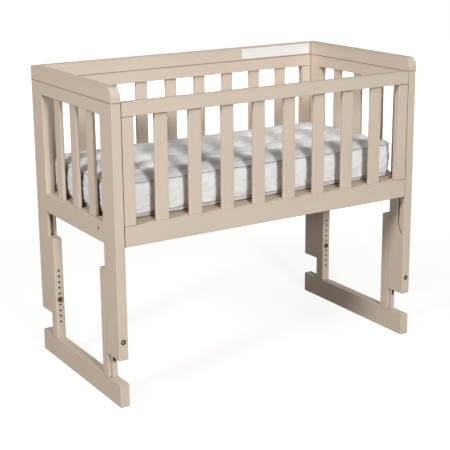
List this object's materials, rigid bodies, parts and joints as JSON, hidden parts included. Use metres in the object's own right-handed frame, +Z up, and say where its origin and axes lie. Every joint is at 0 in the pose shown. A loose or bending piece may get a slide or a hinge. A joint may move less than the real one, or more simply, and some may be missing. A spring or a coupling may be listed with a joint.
{
  "type": "bedside sleeper crib",
  "caption": "Wooden bedside crib with slatted sides, a front side that drops, a tufted mattress and foot frames that slide in the posts to set its height.",
  "frame": {"origin": "on the floor, under the middle of the crib's outline", "axes": "+X along the crib to the right as seen from its open front, +Y from the front to the rear side, +Z up"},
  "size_m": [0.92, 0.466, 0.793],
  "materials": {
    "painted_wood": "satin paint, sand beige",
    "board_wood": "sanded plywood",
    "dowel_wood": "bare beech",
    "mattress_fabric": "matte quilted cloth",
    "label": "matte, blank",
    "antique_brass": "antique, dull",
    "bright_brass": "satin",
    "steel": "zinc plated"
  },
  "bodies": {
    "crib_body": {"post_front_left": "painted_wood", "post_front_right": "painted_wood", "post_rear_left": "painted_wood", "post_rear_right": "painted_wood", "cap_left": "painted_wood", "cap_right": "painted_wood", "end_top_rail_left": "painted_wood", "end_top_rail_right": "painted_wood", "end_bottom_rail_left": "painted_wood", "end_bottom_rail_right": "painted_wood", "end_slats_left": "painted_wood", "end_slats_right": "painted_wood", "rear_upper_board": "painted_wood", "rear_top_rail": "painted_wood", "rear_bottom_rail": "painted_wood", "rear_stile_left": "painted_wood", "rear_stile_right": "painted_wood", "rear_slat_1": "painted_wood", "rear_slat_2": "painted_wood", "rear_slat_3": "painted_wood", "rear_slat_4": "painted_wood", "rear_slat_5": "painted_wood", "rear_slat_6": "painted_wood", "rear_slat_7": "painted_wood", "rear_slat_8": "painted_wood", "base_rail_front": "painted_wood", "base_batten_rear": "painted_wood", "base_board": "board_wood", "base_bolts": "bright_brass", "barrel_nuts": "steel", "batten_screws": "steel", "crib_dowels": "dowel_wood", "blank_label": "label"},
    "front_panel": {"front_top_rail": "painted_wood", "front_bottom_rail": "painted_wood", "front_stile_left": "painted_wood", "front_stile_right": "painted_wood", "front_slat_1": "painted_wood", "front_slat_2": "painted_wood", "front_slat_3": "painted_wood", "front_slat_4": "painted_wood", "front_slat_5": "painted_wood", "front_slat_6": "painted_wood", "front_slat_7": "painted_wood", "front_slat_8": "painted_wood", "front_guide_pins": "steel", "front_dowels": "dowel_wood"},
    "foot_frame_left": {"foot_rail_left": "painted_wood", "upright_front_left": "painted_wood", "upright_rear_left": "painted_wood", "index_screws_left": "antique_brass"},
    "foot_frame_right": {"foot_rail_right": "painted_wood", "upright_front_right": "painted_wood", "upright_rear_right": "painted_wood", "index_screws_right": "antique_brass"},
    "bedding": {"mattress": "mattress_fabric"},
    "lock_bolt_front_left_body": {"lock_bolt_front_left": "antique_brass"},
    "lock_bolt_rear_left_body": {"lock_bolt_rear_left": "antique_brass"},
    "lock_bolt_front_right_body": {"lock_bolt_front_right": "antique_brass"},
    "lock_bolt_rear_right_body": {"lock_bolt_rear_right": "antique_brass"}
  },
  "joints": [
    {"name": "foot_frame_left_slide", "type": "slide", "parent": "crib_body", "child": "foot_frame_left", "axis": [0, 0, -1], "range_m": [-0.064, 0.08]},
    {"name": "foot_frame_right_slide", "type": "slide", "parent": "crib_body", "child": "foot_frame_right", "axis": [0, 0, -1], "range_m": [-0.064, 0.08]},
    {"name": "front_panel_drop", "type": "slide", "parent": "crib_body", "child": "front_panel", "axis": [0, 0, -1], "range_m": [0, 0.095]},
    {"name": "mattress_lift", "type": "slide", "parent": "crib_body", "child": "bedding", "axis": [0, 0, 1], "range_m": [0, 0.34]},
    {"name": "lock_bolt_front_left_pull", "type": "slide", "parent": "crib_body", "child": "lock_bolt_front_left_body", "axis": [0, -1, 0], "range_m": [0, 0.09]},
    {"name": "lock_bolt_rear_left_pull", "type": "slide", "parent": "crib_body", "child": "lock_bolt_rear_left_body", "axis": [0, 1, 0], "range_m": [0, 0.09]},
    {"name": "lock_bolt_front_right_pull", "type": "slide", "parent": "crib_body", "child": "lock_bolt_front_right_body", "axis": [0, -1, 0], "range_m": [0, 0.09]},
    {"name": "lock_bolt_rear_right_pull", "type": "slide", "parent": "crib_body", "child": "lock_bolt_rear_right_body", "axis": [0, 1, 0], "range_m": [0, 0.09]}
  ]
}
